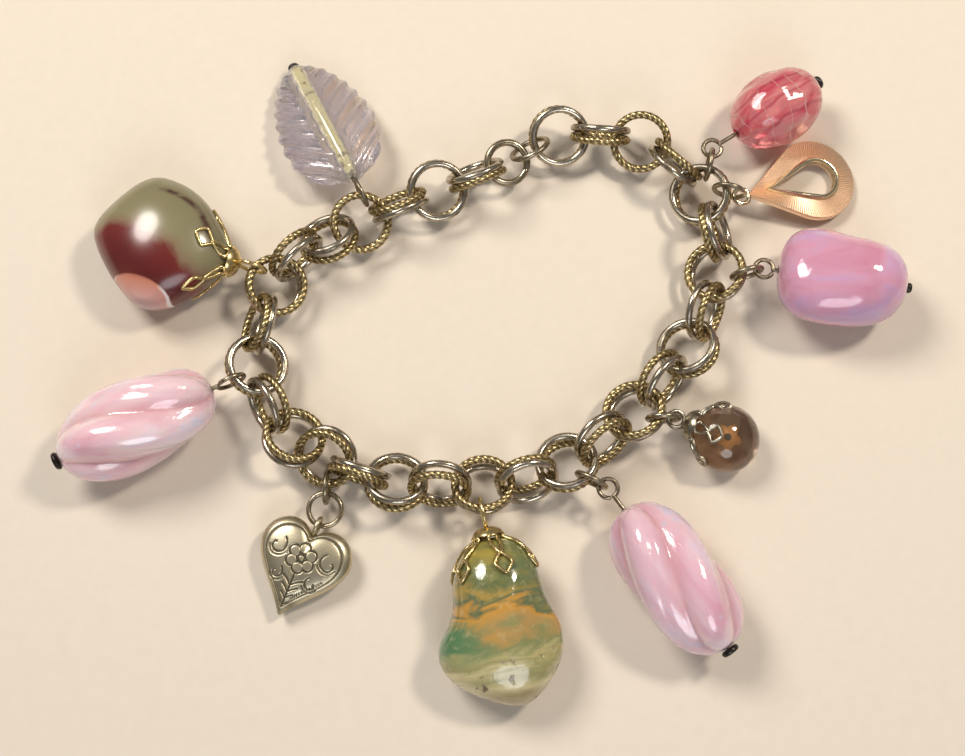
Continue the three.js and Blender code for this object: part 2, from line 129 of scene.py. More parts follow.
room = bpy.data.worlds.new("room")
room.use_nodes = True
room.node_tree.nodes["Background"].inputs["Color"].default_value = ROOM_COLOR
room.node_tree.nodes["Background"].inputs["Strength"].default_value = ROOM_STRENGTH
bpy.context.scene.world = room

lens = bpy.data.cameras.new("camera")
lens.lens = LENS
lens.sensor_width = SENSOR
lens.clip_start = MM
camera = link_to_scene("camera", lens)
distance = PICTURE_WIDTH * LENS / SENSOR
camera.location = (LOOK_AT + distance * np.array([0, -np.cos(ELEVATION), np.sin(ELEVATION)])) * MM
camera.rotation_euler = (np.pi / 2 - ELEVATION, 0, 0)
bpy.context.scene.camera = camera
bpy.context.scene.view_settings.view_transform = "Standard"

# -------------------- chain links
# Each link is a plain round-wire ring with a ring of twisted wire soldered beside it. Both are brass,
# antiqued dark and rubbed bright where they touch cloth and skin. The links hang through each other.
LINK_COUNT = 30
LINK_RADIUS = 3.75
LINK_WIRE = 0.92
WIRE_RADIUS = 0.54 * LINK_WIRE  # more than half, as the wire is a little thicker than the solids'
PAIR_OFFSET = 0.62
PAIR_SPLAY = np.radians(4)
ROPE_RIDGES = 27  # round the ring, seen from one side
ROPE_STRANDS = 3
ROPE_DEPTH = 0.3  # of the grooves between strands, as a share of the wire's radius
PLAIN_STEPS = 64
PLAIN_SIDES = 14
TWISTED_STEPS = ROPE_RIDGES * 6
TWISTED_SIDES = 18
UP = np.array([0.0, 0.0, 1.0])


def corners(node):
    """A node's corners in millimetres, each of them once."""
    mesh = nodes[node].data
    flat = np.empty(len(mesh.vertices) * 3)
    mesh.vertices.foreach_get("co", flat)
    return np.unique(np.round(flat.reshape(-1, 3) / MM, 4), axis=0)


def ring_of(node):
    """A ring's centre, its axis, its radius and its wire's radius. The axis is the direction in which the
    corners spread least, the centre is the middle of their spread in the ring's own directions, and the
    radius is half-way between the nearest corner and the farthest."""
    points = corners(node)
    own_axes = np.linalg.svd(points - points.mean(0), full_matrices=False)[2]
    own = points @ own_axes.T
    middle = (own.min(0) + own.max(0)) / 2
    across = np.linalg.norm((own - middle)[:, :2], axis=1)
    return middle @ own_axes, own_axes[2], (across.min() + across.max()) / 2, np.ptp(own[:, 2]) / 2


def circle(centre, axis, radius, steps, gap=0.0):
    """Points round a circle. With a gap, in radians, the circle stays open over that angle."""
    first = unit(np.cross(axis, [0.31, 0.17, 0.94]))
    second = np.cross(axis, first)
    angle = np.linspace(gap / 2, 2 * np.pi - gap / 2, steps, endpoint=gap > 0)[:, None]
    return centre + radius * (np.cos(angle) * first + np.sin(angle) * second)


def tube(path, radii, steady, closed, sides=12):
    """Rings of corners round a path. Each ring lies square to the path: `steady` is a direction that the
    path never follows, and corners are counted from it. `radii` is one radius, one for each point of the
    path, or one for each corner."""
    ahead = np.roll(path, -1, 0) - np.roll(path, 1, 0) if closed else np.gradient(path, axis=0)
    ahead = unit(ahead)
    side = unit(np.cross(ahead, steady))
    lift = np.cross(side, ahead)
    angle = np.linspace(0, 2 * np.pi, sides, endpoint=False)
    out = np.cos(angle)[None, :, None] * side[:, None] + np.sin(angle)[None, :, None] * lift[:, None]
    radii = np.asarray(radii, float)
    radii = radii[:, None] if radii.ndim == 1 else radii
    return path[:, None] + (radii * np.ones((len(path), sides)))[:, :, None] * out


def rounded(path, radius, steps=4):
    """An open path made longer by a half ball at each end, and its radii: further points stand out by the
    sine of an angle and shrink by its cosine."""
    angle = np.linspace(0, np.radians(80), steps + 1)[1:]
    start, end = unit(path[0] - path[1]), unit(path[-1] - path[-2])
    head = path[0] + radius * np.outer(np.sin(angle), start)
    tail = path[-1] + radius * np.outer(np.sin(angle), end)
    shrunk = radius * np.cos(angle)
    return np.vstack([head[::-1], path, tail]), np.concatenate(
        [shrunk[::-1], np.full(len(path), radius), shrunk])


def skin(rings, closed=False, coat=0, groove=0.0, place=None):
    """A closed surface through rings of corners, in millimetres. A closed run of rings joins its last ring
    to its first, and an open one gets a point in the middle of each end. `coat` is the number of its
    material, `groove` darkens metal in its tarnished hollows and paints shade into the grooves between the
    lobes of the twisted glass beads, and `place` is where each corner is in the piece's own terms. The
    faces are turned round if the volume inside them comes out below zero."""
    count, sides = rings.shape[:2]
    index = np.arange(count * sides).reshape(count, sides)
    ahead = np.roll(index, -1, 1)
    if closed:
        quads = np.stack([index, np.roll(index, -1, 0), np.roll(ahead, -1, 0), ahead], -1)
    else:
        quads = np.stack([index[:-1], index[1:], ahead[1:], ahead[:-1]], -1)
    faces = quads.reshape(-1, 4)
    values = np.concatenate([
        rings, np.broadcast_to(groove, (count, sides))[:, :, None],
        rings if place is None else place], -1)
    points = values.reshape(-1, 7)
    fans = np.empty((0, 3), int)
    if not closed:
        points = np.vstack([points, values[0].mean(0), values[-1].mean(0)])
        start = np.full(sides, count * sides)
        fans = np.vstack([np.stack([start, index[0], ahead[0]], -1),
                          np.stack([start + 1, ahead[-1], index[-1]], -1)])
    triangles = np.vstack([faces[:, :3], faces[:, [0, 2, 3]], fans])
    a, b, c = (points[triangles[:, corner], :3] for corner in range(3))
    if np.einsum("ij,ij->i", a, np.cross(b, c)).sum() < 0:
        faces, fans = faces[:, ::-1], fans[:, ::-1]
    return {"points": points, "faces": faces.tolist() + fans.tolist(), "coat": coat}


def piece(name, skins, coats, slot, *stands_for, crease=50):
    """One mesh of closed skins, given its materials and put in the place of the solids it stands for. A
    piece that would sink into the board is raised on to it."""
    starts = np.cumsum([0] + [len(each["points"]) for each in skins])
    points = np.vstack([each["points"] for each in skins])
    points[:, 2] -= min(0, points[:, 2].min())
    faces = [[corner + start for corner in face]
             for each, start in zip(skins, starts) for face in each["faces"]]
    mesh = bpy.data.meshes.new(name)
    mesh.from_pydata((points[:, :3] * MM).tolist(), [], faces)
    mesh.attributes.new("groove", "FLOAT", "POINT").data.foreach_set("value", points[:, 3])
    mesh.attributes.new("place", "FLOAT_VECTOR", "POINT").data.foreach_set("vector", points[:, 4:].ravel())
    for coat in coats:
        mesh.materials.append(coat)
    mesh.polygons.foreach_set(
        "material_index", np.repeat([each["coat"] for each in skins], [len(each["faces"]) for each in skins]))
    mesh.shade_smooth()
    mesh.set_sharp_from_angle(angle=np.radians(crease))
    made = link_to_scene(name, mesh)
    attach(made, "root")
    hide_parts(*stands_for)
    return made


def shader_group(name, inputs, outputs):
    """An empty node group with its sockets, and the sockets inside it."""
    group = bpy.data.node_groups.new(name, "ShaderNodeTree")
    for label, kind, default in inputs:
        group.interface.new_socket(label, in_out="INPUT", socket_type=kind).default_value = default
    for label, kind in outputs:
        group.interface.new_socket(label, in_out="OUTPUT", socket_type=kind)
    return group, group.nodes.new("NodeGroupInput").outputs, group.nodes.new("NodeGroupOutput").inputs


def mixed(tree, factor, first, second, blend_type="MIX"):
    """One colour mixed into another, or multiplied with it and so on."""
    return shader_node(tree, "ShaderNodeMix", {"Factor": factor, 6: first, 7: second},
                       data_type="RGBA", blend_type=blend_type).outputs[2]


def calculated(tree, operation, *values, clamp=False):
    """The output of a Math node."""
    return shader_node(tree, "ShaderNodeMath", dict(enumerate(values)),
                       operation=operation, use_clamp=clamp).outputs[0]


def times(tree, first, second):
    """The product of two values."""
    return calculated(tree, "MULTIPLY", first, second)


def ramped(tree, factor, stops):
    """A colour read off a row of (place, red, green, blue) stops."""
    made = shader_node(tree, "ShaderNodeValToRGB", {"Fac": factor})
    elements = made.color_ramp.elements
    while len(elements) < len(stops):
        elements.new(1)
    for element, (at, *color) in zip(elements, stops):
        element.position = at
        element.color = (*color, 1)
    return made.outputs["Color"]


COLOR, FLOAT, VECTOR = "NodeSocketColor", "NodeSocketFloat", "NodeSocketVector"

# Tarnish gathers in grooves and in soft patches. It darkens the metal and dulls it.
tarnish, given, made_out = shader_group(
    "tarnish",
    [("Bright", COLOR, (0.6, 0.5, 0.35, 1)), ("Dark", COLOR, (0.06, 0.04, 0.02, 1)),
     ("Groove", FLOAT, 0), ("Patch Scale", FLOAT, 500), ("Patches", FLOAT, 0.5),
     ("Polish", FLOAT, 0.22)],
    [("Color", COLOR), ("Roughness", FLOAT), ("Height", FLOAT)])
spot = shader_node(tarnish, "ShaderNodeTexCoord").outputs["Object"]
patch = shader_node(tarnish, "ShaderNodeTexNoise", {
    "Vector": spot, "Scale": given["Patch Scale"], "Detail": 6, "Roughness": 0.6}).outputs["Fac"]
fine = shader_node(tarnish, "ShaderNodeTexNoise", {
    "Vector": spot, "Scale": 4200, "Detail": 2}).outputs["Fac"]
patch = shader_node(tarnish, "ShaderNodeMapRange", {
    "Value": patch, "From Min": 0.45, "From Max": 0.72}).outputs["Result"]
soiled = times(tarnish, patch, given["Patches"])
soiled = calculated(tarnish, "MAXIMUM", soiled, given["Groove"], clamp=True)
tarnish.links.new(mixed(tarnish, soiled, given["Bright"], given["Dark"]), made_out["Color"])
dulled = calculated(tarnish, "MULTIPLY_ADD", soiled, 0.34, given["Polish"])
tarnish.links.new(calculated(tarnish, "MULTIPLY_ADD", fine, 0.08, dulled), made_out["Roughness"])
tarnish.links.new(calculated(tarnish, "SUBTRACT", fine, soiled), made_out["Height"])


def metal(name, bright, dark, patches=0.5, polish=0.2, patch_scale=500.0, bump=0.05):
    """Worn metal: bright where it is rubbed, dark in its grooves and patches, with a faint hammered bump."""
    made, tree, shader = finish(name, Metallic=1.0)
    groove = shader_node(tree, "ShaderNodeAttribute", attribute_name="groove").outputs["Fac"]
    worn = shader_node(tree, "ShaderNodeGroup", node_tree=tarnish)
    tree.links.new(groove, worn.inputs["Groove"])
    for socket, value in {"Bright": (*bright, 1), "Dark": (*dark, 1), "Patches": patches,
                          "Polish": polish, "Patch Scale": patch_scale}.items():
        worn.inputs[socket].default_value = value
    feed(tree, worn.outputs["Color"], shader, "Base Color")
    feed(tree, worn.outputs["Roughness"], shader, "Roughness")
    dents = shader_node(tree, "ShaderNodeBump", {
        "Strength": bump, "Distance": 0.1 * MM, "Height": worn.outputs["Height"]})
    feed(tree, dents.outputs["Normal"], shader, "Normal")
    return made


plain_wire = metal("plain_wire", (0.52, 0.46, 0.36), (0.06, 0.04, 0.025), patches=0.85, polish=0.16)
twisted_wire = metal("twisted_wire", (0.60, 0.47, 0.24), (0.055, 0.035, 0.015), patches=0.5, polish=0.2)


def plain_ring(centre, axis, radius, wire, coat=0):
    """A closed ring of round wire."""
    path = circle(centre, axis, radius, PLAIN_STEPS)
    return skin(tube(path, wire, axis, True, PLAIN_SIDES), True, coat)


def twisted_ring(centre, axis, radius, wire, coat=0):
    """A closed ring of twisted wire. Its section's radius falls by a narrow dip where two strands meet, and
    the dips turn about the wire as they go round the ring."""
    path = circle(centre, axis, radius, TWISTED_STEPS)
    round_ring = np.linspace(0, 2 * np.pi, TWISTED_STEPS, endpoint=False)[:, None]
    round_wire = np.linspace(0, 2 * np.pi, TWISTED_SIDES, endpoint=False)[None, :]
    dip = (0.5 + 0.5 * np.cos(ROPE_STRANDS * round_wire + ROPE_RIDGES * round_ring)) ** 3
    rings = tube(path, wire * (1.1 - ROPE_DEPTH * dip), axis, True, TWISTED_SIDES)
    return skin(rings, True, coat, groove=0.95 * dip ** 0.6)


chain = [f"link_{number:02d}" for number in range(1, LINK_COUNT + 1)] + ["clasp_ring", "end_ring"]
chain_rings = [ring_of(node) for node in chain]
for number, node in enumerate(chain[:LINK_COUNT]):
    centre, axis = chain_rings[number][:2]
    along = unit(chain_rings[number + 1][0] - chain_rings[number - 1][0])
    out = unit(np.cross(axis, along))
    out = out * np.sign(out @ np.cross(UP, along))
    along = unit(along - (along @ axis) * axis)
    axis = np.cross(along, out)
    offset = corners(node) - centre
    spread = np.abs(offset @ axis)
    outer, inner = (spread[sign * (offset @ out) > 0.6 * LINK_RADIUS].max() for sign in (1, -1))
    opens = 1 if outer > inner else -1
    twisted_side = 1 if number // 2 % 2 else -1
    skins = []
    for side, coat in ((-twisted_side, 0), (twisted_side, 1)):
        lean = side * opens * PAIR_SPLAY
        own_axis = np.cos(lean) * axis + np.sin(lean) * np.cross(along, axis)
        make = twisted_ring if coat else plain_ring
        skins.append(make(centre + side * PAIR_OFFSET * axis, own_axis, LINK_RADIUS, WIRE_RADIUS, coat))
    piece(f"{node}_pair", skins, [plain_wire, twisted_wire], "chain_metal", node)

# -------------------- closing rings and jump rings
# The bracelet closes with two single rings of bare wire. Jump rings of thinner wire join the charms to
# the links. Each was bent round a mandrel and its ends pushed together, which leaves a hairline joint.
JOINT_GAP = np.radians(2.5)
SINGLE_RINGS = {
    "clasp_ring": "clasp_ring_wire",
    "end_ring": "end_ring_wire",
    "heart_ring": "heart_ring_wire",
    **{f"{charm}_jump_ring": f"{charm}_jump_ring_wire"
       for charm in ("right_twist", "nugget", "crackle", "clear", "heart", "teardrop")},
}
ring_wire = metal("ring_wire", (0.40, 0.34, 0.24), (0.05, 0.035, 0.02), patches=0.8, polish=0.2)
for node, name in SINGLE_RINGS.items():
    centre, axis, radius, wire = ring_of(node)
    path, radii = rounded(circle(centre, axis, radius, PLAIN_STEPS, JOINT_GAP), 0.97 * wire, 2)
    piece(name, [skin(tube(path, radii, axis, False, PLAIN_SIDES))], [ring_wire], "ring_metal", node)

# -------------------- head pins
# A bead is threaded on a pin of dark wire with a flat black head, and the wire's other end is turned into
# an eye. The eye lies flat for a jump ring, or is long and stands on edge to go round a link.
PIN_WIRE = 0.3
FLAT_EYE = 1.25
LONG_EYE = 1.9
EYE_CLOSING = np.radians(30)
HEAD_RADIUS = 1.2
HEAD_THICK = 0.5
HEAD_SINK = 0.3  # how far the head reaches back into the end of the bead
HEAD_PROFILE = [(0.2, 0.0), (0.82, 0.0), (1.0, 0.25), (1.0, 0.6), (0.86, 0.88), (0.5, 0.98)]
pin_wire = metal("pin_wire", (0.34, 0.28, 0.2), (0.03, 0.02, 0.015), patches=0.9, polish=0.24)
pin_head = metal("pin_head", (0.06, 0.055, 0.05), (0.015, 0.012, 0.01), patches=0.6, polish=0.25)


def charm_axes(lie, dip=0.0):
    """The directions of a charm as rows: away from the chain, to its left, and up. It lies at bearing
    `lie` and slopes down by `dip`, both in degrees."""
    lie, dip = np.radians([lie, dip])
    level = np.array([np.cos(lie), np.sin(lie), 0])
    ahead = np.cos(dip) * level - np.sin(dip) * UP
    left = np.cross(UP, level)
    return np.stack([ahead, left, np.cross(ahead, left)])


def extent(node, axes):
    """The lowest and highest corner of a node in a charm's own directions, in millimetres."""
    own = corners(node) @ axes.T
    return own.min(0), own.max(0)


def lathe(x, reach, sides, y=0.0, z=0.0):
    """Rings of corners round the x direction: `reach` is how far out they stand at each x."""
    angle = np.linspace(0, 2 * np.pi, sides, endpoint=False)
    x, reach = np.asarray(x, float)[:, None], np.asarray(reach, float)[:, None]
    return np.stack([x + 0 * angle, y + reach * np.cos(angle), z + reach * np.sin(angle)], -1)


def head_pin(charm, axes, long_eye=False, lift=0.0, head_radius=HEAD_RADIUS):
    """Makes a charm's pin, and gives the line that its shank follows as (y, z)."""
    node = f"{charm}_headpin"
    low, high = extent(node, axes)
    y, z = (low[1:] + high[1:]) / 2
    radius = LONG_EYE if long_eye else FLAT_EYE
    eye = np.array([low[0] + radius + PIN_WIRE, y, z])
    eye_axis = np.array([0.0, 1.0, 0.0]) if long_eye else np.array([0.0, 0.0, 1.0])
    second = np.cross(eye_axis, [1.0, 0.0, 0.0])
    start = np.arcsin(lift / radius) * (second @ [0, 0, 1]) if lift else 0.0
    angle = start + np.linspace(0, 2 * np.pi - EYE_CLOSING, 40)[:, None]
    loop = eye + radius * (np.cos(angle) * [1.0, 0.0, 0.0] + np.sin(angle) * second)
    loop, loop_radii = rounded(loop, PIN_WIRE)
    back = high[0] - HEAD_THICK
    shank = np.linspace([loop[4][0], y, z + lift], [back + 0.2, y, z + lift], 12)
    shank, shank_radii = rounded(shank, PIN_WIRE)
    profile = np.array(HEAD_PROFILE)
    head_x = back - HEAD_SINK + profile[:, 1] * (HEAD_THICK + HEAD_SINK)
    head = lathe(head_x, profile[:, 0] * head_radius, 28, y, z + lift)
    skins = [skin(tube(loop, loop_radii, eye_axis, False) @ axes),
             skin(tube(shank, shank_radii, UP, False) @ axes), skin(head @ axes, coat=1)]
    piece(f"{charm}_pin", skins, [pin_wire, pin_head], "dark_pin", node)
    return y, z + lift


def barrel(place, power):
    """How far out a barrel stands at `place`: 0 at both ends and 1 in the middle."""
    return np.maximum(0, 1 - np.abs(2 * place - 1) ** power) ** (1 / power)


BORE = 0.65


def drilled(low, high, line, count, sides, shape):
    """A bead along x with a hole through it, as a closed run of rings, and where each corner is: x from the
    near end and y and z from the bead's middle. `shape` gives y and z at a place from 0 to 1 along the
    bead and an angle round it, and the rows crowd towards both ends."""
    place = (1 - np.cos(np.linspace(0.04, np.pi - 0.04, count)))[:, None] / 2
    angle = np.linspace(0, 2 * np.pi, sides, endpoint=False)[None, :]
    y, z = shape(place, angle)
    reach = np.hypot(y, z)
    grow = np.maximum(1, BORE / np.maximum(reach, 1e-6))
    length = high[0] - low[0]
    own = np.stack([place * length + 0 * angle, y * grow, z * grow], -1)
    hole = lathe(np.linspace(1, 0, 12) * length, np.full(12, BORE), sides)
    own = np.concatenate([own, hole])
    return own + [low[0], *line], own


def glossy(name, **sockets):
    """The start of a glass or polished stone finish, with its own place as a vector."""
    made, tree, shader = finish(name, **sockets)
    place = shader_node(tree, "ShaderNodeAttribute", attribute_name="place").outputs["Vector"]
    return made, tree, shader, place


def noise(tree, vector, scale, detail=3.0, distortion=0.0):
    """The value of a noise texture."""
    return shader_node(tree, "ShaderNodeTexNoise", {
        "Vector": vector, "Scale": scale, "Detail": detail, "Distortion": distortion}).outputs["Fac"]


def narrowed(tree, value, low, high, bottom=0.0, top=1.0):
    """A value spread from between low and high to between bottom and top."""
    return shader_node(tree, "ShaderNodeMapRange", {
        "Value": value, "From Min": low, "From Max": high, "To Min": bottom, "To Max": top}).outputs["Result"]


def stretched(tree, vector, scale):
    """Coordinates stretched along each direction."""
    return shader_node(tree, "ShaderNodeMapping", {"Vector": vector, "Scale": scale}).outputs["Vector"]


def bumped(tree, shader, height, distance, strength=1.0):
    """A bump on a shader, from a height between 0 and 1 that is `distance` millimetres at its most."""
    bump = shader_node(tree, "ShaderNodeBump", {
        "Height": height, "Distance": distance * MM, "Strength": strength})
    feed(tree, bump.outputs["Normal"], shader, "Normal")


# -------------------- leaf bead
# A leaf of opalescent glass pressed in a mould: pale lilac, clear enough to see the board through, with a
# thick cream vein down its middle, ribs that slope to the tip, and a scalloped edge.
LEAF_AXES = charm_axes(lie=117, dip=9)
LEAF_WIDTH = 7.0
LEAF_THICK = 2.5
RIB_SPACING = 2.55
RIB_SLOPE = 0.8
RIB_HEIGHT = 0.5  # on the ribbed side; the other side is smoother
VEIN_WIDTH = 0.75
VEIN_HEIGHT = 0.45


def leaf_shape(place, angle):
    """A lens that narrows to the tip: y is the width times the cosine and z the thickness times the sine.
    Ribs are a cosine of the distance along the leaf less a share of the distance from the vein."""
    reach = barrel(place, 2) ** 0.85 * (1 - 0.32 * place) * 1.18
    length = LEAF_LENGTH
    y = LEAF_WIDTH * reach * np.cos(angle)
    z = LEAF_THICK * np.sqrt(reach) * np.sin(angle)
    wave = 0.5 + 0.5 * np.cos(2 * np.pi * (place * length - RIB_SLOPE * np.abs(y)) / RIB_SPACING)
    side = np.where(y > 0, 1.0, 0.5)
    pleat = 0.13 * side * np.cos(6 * np.pi * (place * length - RIB_SLOPE * np.abs(y)) / RIB_SPACING)
    away = np.clip((np.abs(y) - VEIN_WIDTH) / 1.2, 0, 1) * np.clip(np.abs(z), 0, 1)
    relief = RIB_HEIGHT * side * (wave ** 1.5 - 1) + pleat * (np.abs(y) > VEIN_WIDTH)
    y = y * (1 - 0.07 * (1 - wave ** 0.7) * np.abs(np.cos(angle)) ** 3)
    vein = VEIN_HEIGHT * np.exp(-(y / VEIN_WIDTH) ** 2) * np.clip(3 * reach, 0, 1) * (np.sin(angle) > 0)
    return y, z + np.sign(z) * (relief - 0.13) * away + vein


leaf_low, leaf_high = extent("leaf_bead", LEAF_AXES)
LEAF_LENGTH = leaf_high[0] - leaf_low[0]
leaf_line = head_pin("leaf", LEAF_AXES, long_eye=True, head_radius=0.85)
leaf_rings, leaf_own = drilled(leaf_low, leaf_high, leaf_line, 150, 176, leaf_shape)
leaf_glass, tree, shader, place = glossy(
    "leaf_glass", Roughness=0.05, IOR=1.45, Transmission_Weight=0.86, Subsurface_Weight=0.2,
    Subsurface_Scale=2 * MM, Subsurface_Radius=(0.9, 0.8, 1.0), Coat_Weight=1.0, Coat_IOR=1.7,
    Coat_Roughness=0.03)
split = shader_node(tree, "ShaderNodeSeparateXYZ", {"Vector": place}).outputs
near_vein = narrowed(tree, calculated(tree, "ABSOLUTE", split["Y"]), 0.55, 1.05, 1, 0)
haze = narrowed(tree, noise(tree, place, 0.35, 2), 0.3, 0.7)
lilac = mixed(tree, haze, (0.90, 0.85, 0.97, 1), (0.98, 0.90, 0.94, 1))
# Painted light: every other rib on the smoother side gets an orange glow, as opal glass shows where light
# passes through it.
along_rib = calculated(tree, "ADD", split["X"], times(tree, split["Y"], RIB_SLOPE))
every_other = calculated(tree, "SINE", times(tree, along_rib, np.pi / RIB_SPACING))
painted_orange_glow = times(tree, narrowed(tree, every_other, 0.7, 1.0), narrowed(tree, split["Y"], -0.8, -2.5))
lilac = mixed(tree, times(tree, painted_orange_glow, 0.75), lilac, (0.98, 0.72, 0.42, 1))
pits = times(tree, near_vein, narrowed(tree, noise(tree, place, 0.9, 1), 0.66, 0.7))
veined = mixed(tree, near_vein, lilac, (0.98, 0.95, 0.76, 1))
feed(tree, mixed(tree, pits, veined, (0.25, 0.18, 0.12, 1)), shader, "Base Color")
bumped(tree, shader, noise(tree, place, 2.2, 2), 0.12, 0.5)
leaf_core = finish("leaf_core", Base_Color=(0.90, 0.84, 0.60, 1), Roughness=0.5)[0]
core = np.linspace([leaf_low[0] + 0.6, *leaf_line], [leaf_high[0] - 0.6, *leaf_line], 20)
core = tube(core, np.full(20, 0.62), UP, False)
piece("leaf_bead_glass", [skin(leaf_rings @ LEAF_AXES, True, place=leaf_own), skin(core @ LEAF_AXES, coat=1)],
      [leaf_glass, leaf_core], "leaf_glass", "leaf_bead")

# -------------------- twisted beads
# Two long beads of milky pink glass, wound while soft so that four broad lobes turn along them. White
# glass trails through the pink. The fire-polished skin has a faint pearly film, whose lustre is painted in
# as pale blue sheen patches, and the grooves between the lobes carry painted shade of a deeper rose.
TWIST_RADIUS = 6.25  # at the top of a lobe
TWIST_LOBES = 4
TWIST_DEPTH = 0.25
TWIST_TURN = np.radians(210)
TWIST_POWER = 2.3


def twist_shape(place, angle):
    """A barrel cut by a groove between each lobe and the next: the lobes are a cosine of the angle less the
    turn so far, and its small power makes them broad and the grooves narrow. A crease runs along one flank
    of each lobe."""
    turned = angle - TWIST_TURN * place / 2
    lobe = (0.5 + 0.5 * np.cos(TWIST_LOBES * turned)) ** 0.55
    crease = 0.04 * np.exp(-(np.sin(TWIST_LOBES * turned / 2 + 0.62) / 0.2) ** 2) * np.sin(np.pi * place)
    reach = TWIST_RADIUS * barrel(place, TWIST_POWER) * (1 - TWIST_DEPTH * (1 - lobe) - crease)
    return reach * np.cos(angle), reach * np.sin(angle)


def twist_finish(name, tint):
    """Milky glass whose trails run along the bead, with pale patches of painted sheen and painted shade of
    a deeper rose in its grooves, multiplied by a tint.
    """
    made, tree, shader, place = glossy(
        name, Roughness=0.09, IOR=1.5, Transmission_Weight=0.12, Subsurface_Weight=0.65,
        Subsurface_Scale=3 * MM, Subsurface_Radius=(1.0, 0.55, 0.6), Coat_Weight=1.0, Coat_Roughness=0.05,
        Coat_IOR=1.6)
    trails = noise(tree, stretched(tree, place, (0.07, 0.22, 0.22)), 1.0, 2, 0.8)
    pink = ramped(tree, trails, [(0.3, 0.80, 0.50, 0.60), (0.45, 0.87, 0.62, 0.71), (0.58, 0.90, 0.72, 0.78),
                                 (0.7, 0.86, 0.76, 0.86)])
    # Painted sheen: pale blue patches stand for the pearly lustre of the fire-polished skin.
    painted_film_sheen = noise(tree, stretched(tree, place, (0.12, 0.3, 0.3)), 1.0, 2, 1.5)
    painted_film_sheen = narrowed(tree, painted_film_sheen, 0.58, 0.74, 0, 0.7)
    # Painted shade: the groove attribute marks corners sunk between the lobes, and there the pink turns a
    # deeper rose.
    deep = shader_node(tree, "ShaderNodeAttribute", attribute_name="groove").outputs["Fac"]
    rosy = mixed(tree, deep, pink, (0.80, 0.46, 0.50, 1))
    pearly = mixed(tree, painted_film_sheen, rosy, (0.70, 0.74, 0.92, 1))
    feed(tree, mixed(tree, 1.0, pearly, tint, "MULTIPLY"), shader, "Base Color")
    bumped(tree, shader, noise(tree, stretched(tree, place, (0.7, 2.5, 2.5)), 0.9, 3), 0.12, 0.6)
    return made


for charm, axes, long_eye, lift, tint in (
        ("left_twist", charm_axes(lie=206), True, 0.6, (1.0, 0.97, 0.95, 1)),
        ("right_twist", charm_axes(lie=-54), False, 0.0, (0.93, 0.85, 0.88, 1))):
    line = head_pin(charm, axes, long_eye, lift)
    rings, own = drilled(*extent(f"{charm}_bead", axes), line, 90, 120, twist_shape)
    # The groove attribute of these beads is painted shade. It is strongest where the glass sinks below the
    # round barrel between lobes.
    round_bead = TWIST_RADIUS * barrel(own[..., 0] / own[..., 0].max(), TWIST_POWER)
    painted_groove_shade = np.clip(4 * (0.9 - np.hypot(own[..., 1], own[..., 2]) / np.maximum(round_bead, 1)), 0, 0.75)
    piece(f"{charm}_bead_glass", [skin(rings @ axes, True, groove=painted_groove_shade, place=own)],
          [twist_finish(f"{charm}_glass", tint)], "twist_glass", f"{charm}_bead")

# -------------------- nugget bead
# A smooth nugget of milky lilac-pink glass, tumbled soft at the edges, with paler clouds in it.
NUGGET_AXES = charm_axes(lie=-8)
NUGGET_WIDTH = 7.0
NUGGET_THICK = 5.6
NUGGET_POWER = 2.6


def nugget_shape(place, angle):
    """A barrel a little wider than it is high, and narrower at its far end. Two slow waves make it uneven,
    and a soft shoulder runs slantwise over it."""
    uneven = 0.06 * np.cos(2 * angle + 4 * place) + 0.02 * np.cos(3 * angle - 5 * place)
    shoulder = 0.035 * np.tanh(5 * (place - 0.5 - 0.25 * np.cos(angle - 1.2))) * np.sin(np.pi * place)
    reach = barrel(place, NUGGET_POWER) * (0.96 + uneven + shoulder)
    narrowing = 1.06 - 0.14 * place
    return NUGGET_WIDTH * narrowing * reach * np.cos(angle), NUGGET_THICK * reach * np.sin(angle)


nugget_glass, tree, shader, place = glossy(
    "nugget_glass", Roughness=0.08, IOR=1.5, Transmission_Weight=0.15, Subsurface_Weight=0.6,
    Subsurface_Scale=3.5 * MM, Subsurface_Radius=(1.0, 0.5, 0.75), Coat_Weight=0.8, Coat_Roughness=0.05)
cloud = noise(tree, stretched(tree, place, (0.12, 0.2, 0.2)), 1.0, 3, 0.8)
feed(tree, ramped(tree, cloud, [(0.3, 0.66, 0.30, 0.42), (0.5, 0.72, 0.38, 0.52), (0.7, 0.62, 0.42, 0.66)]),
     shader, "Base Color")
bumped(tree, shader, noise(tree, place, 0.45, 2), 0.35, 0.5)


def smooth_bead(charm, axes, shape, coat, head_radius):
    """A bead without cut relief, on its pin."""
    line = head_pin(charm, axes, head_radius=head_radius)
    rings, own = drilled(*extent(f"{charm}_bead", axes), line, 80, 96, shape)
    bead = skin(rings @ axes, True, place=own)
    piece(f"{charm}_bead_glass", [bead], [coat], f"{charm}_glass", f"{charm}_bead")


smooth_bead("nugget", NUGGET_AXES, nugget_shape, nugget_glass, 0.7)

# -------------------- crackle bead
# An oval of clear cranberry glass that was quenched while hot, so that fine bright cracks run through it.
CRACKLE_AXES = charm_axes(lie=33)
CRACKLE_RADIUS = 5.2
CRACKLE_POWER = 2.2


def crackle_shape(place, angle):
    """A barrel with long shallow hollows between faint ridges, as the pressed glass has."""
    hollow = 0.03 * np.cos(6 * angle + 1.5 * np.sin(3 * np.pi * place))
    reach = CRACKLE_RADIUS * barrel(place, CRACKLE_POWER) * (0.97 + hollow * np.sin(np.pi * place))
    return reach * np.cos(angle), reach * np.sin(angle)


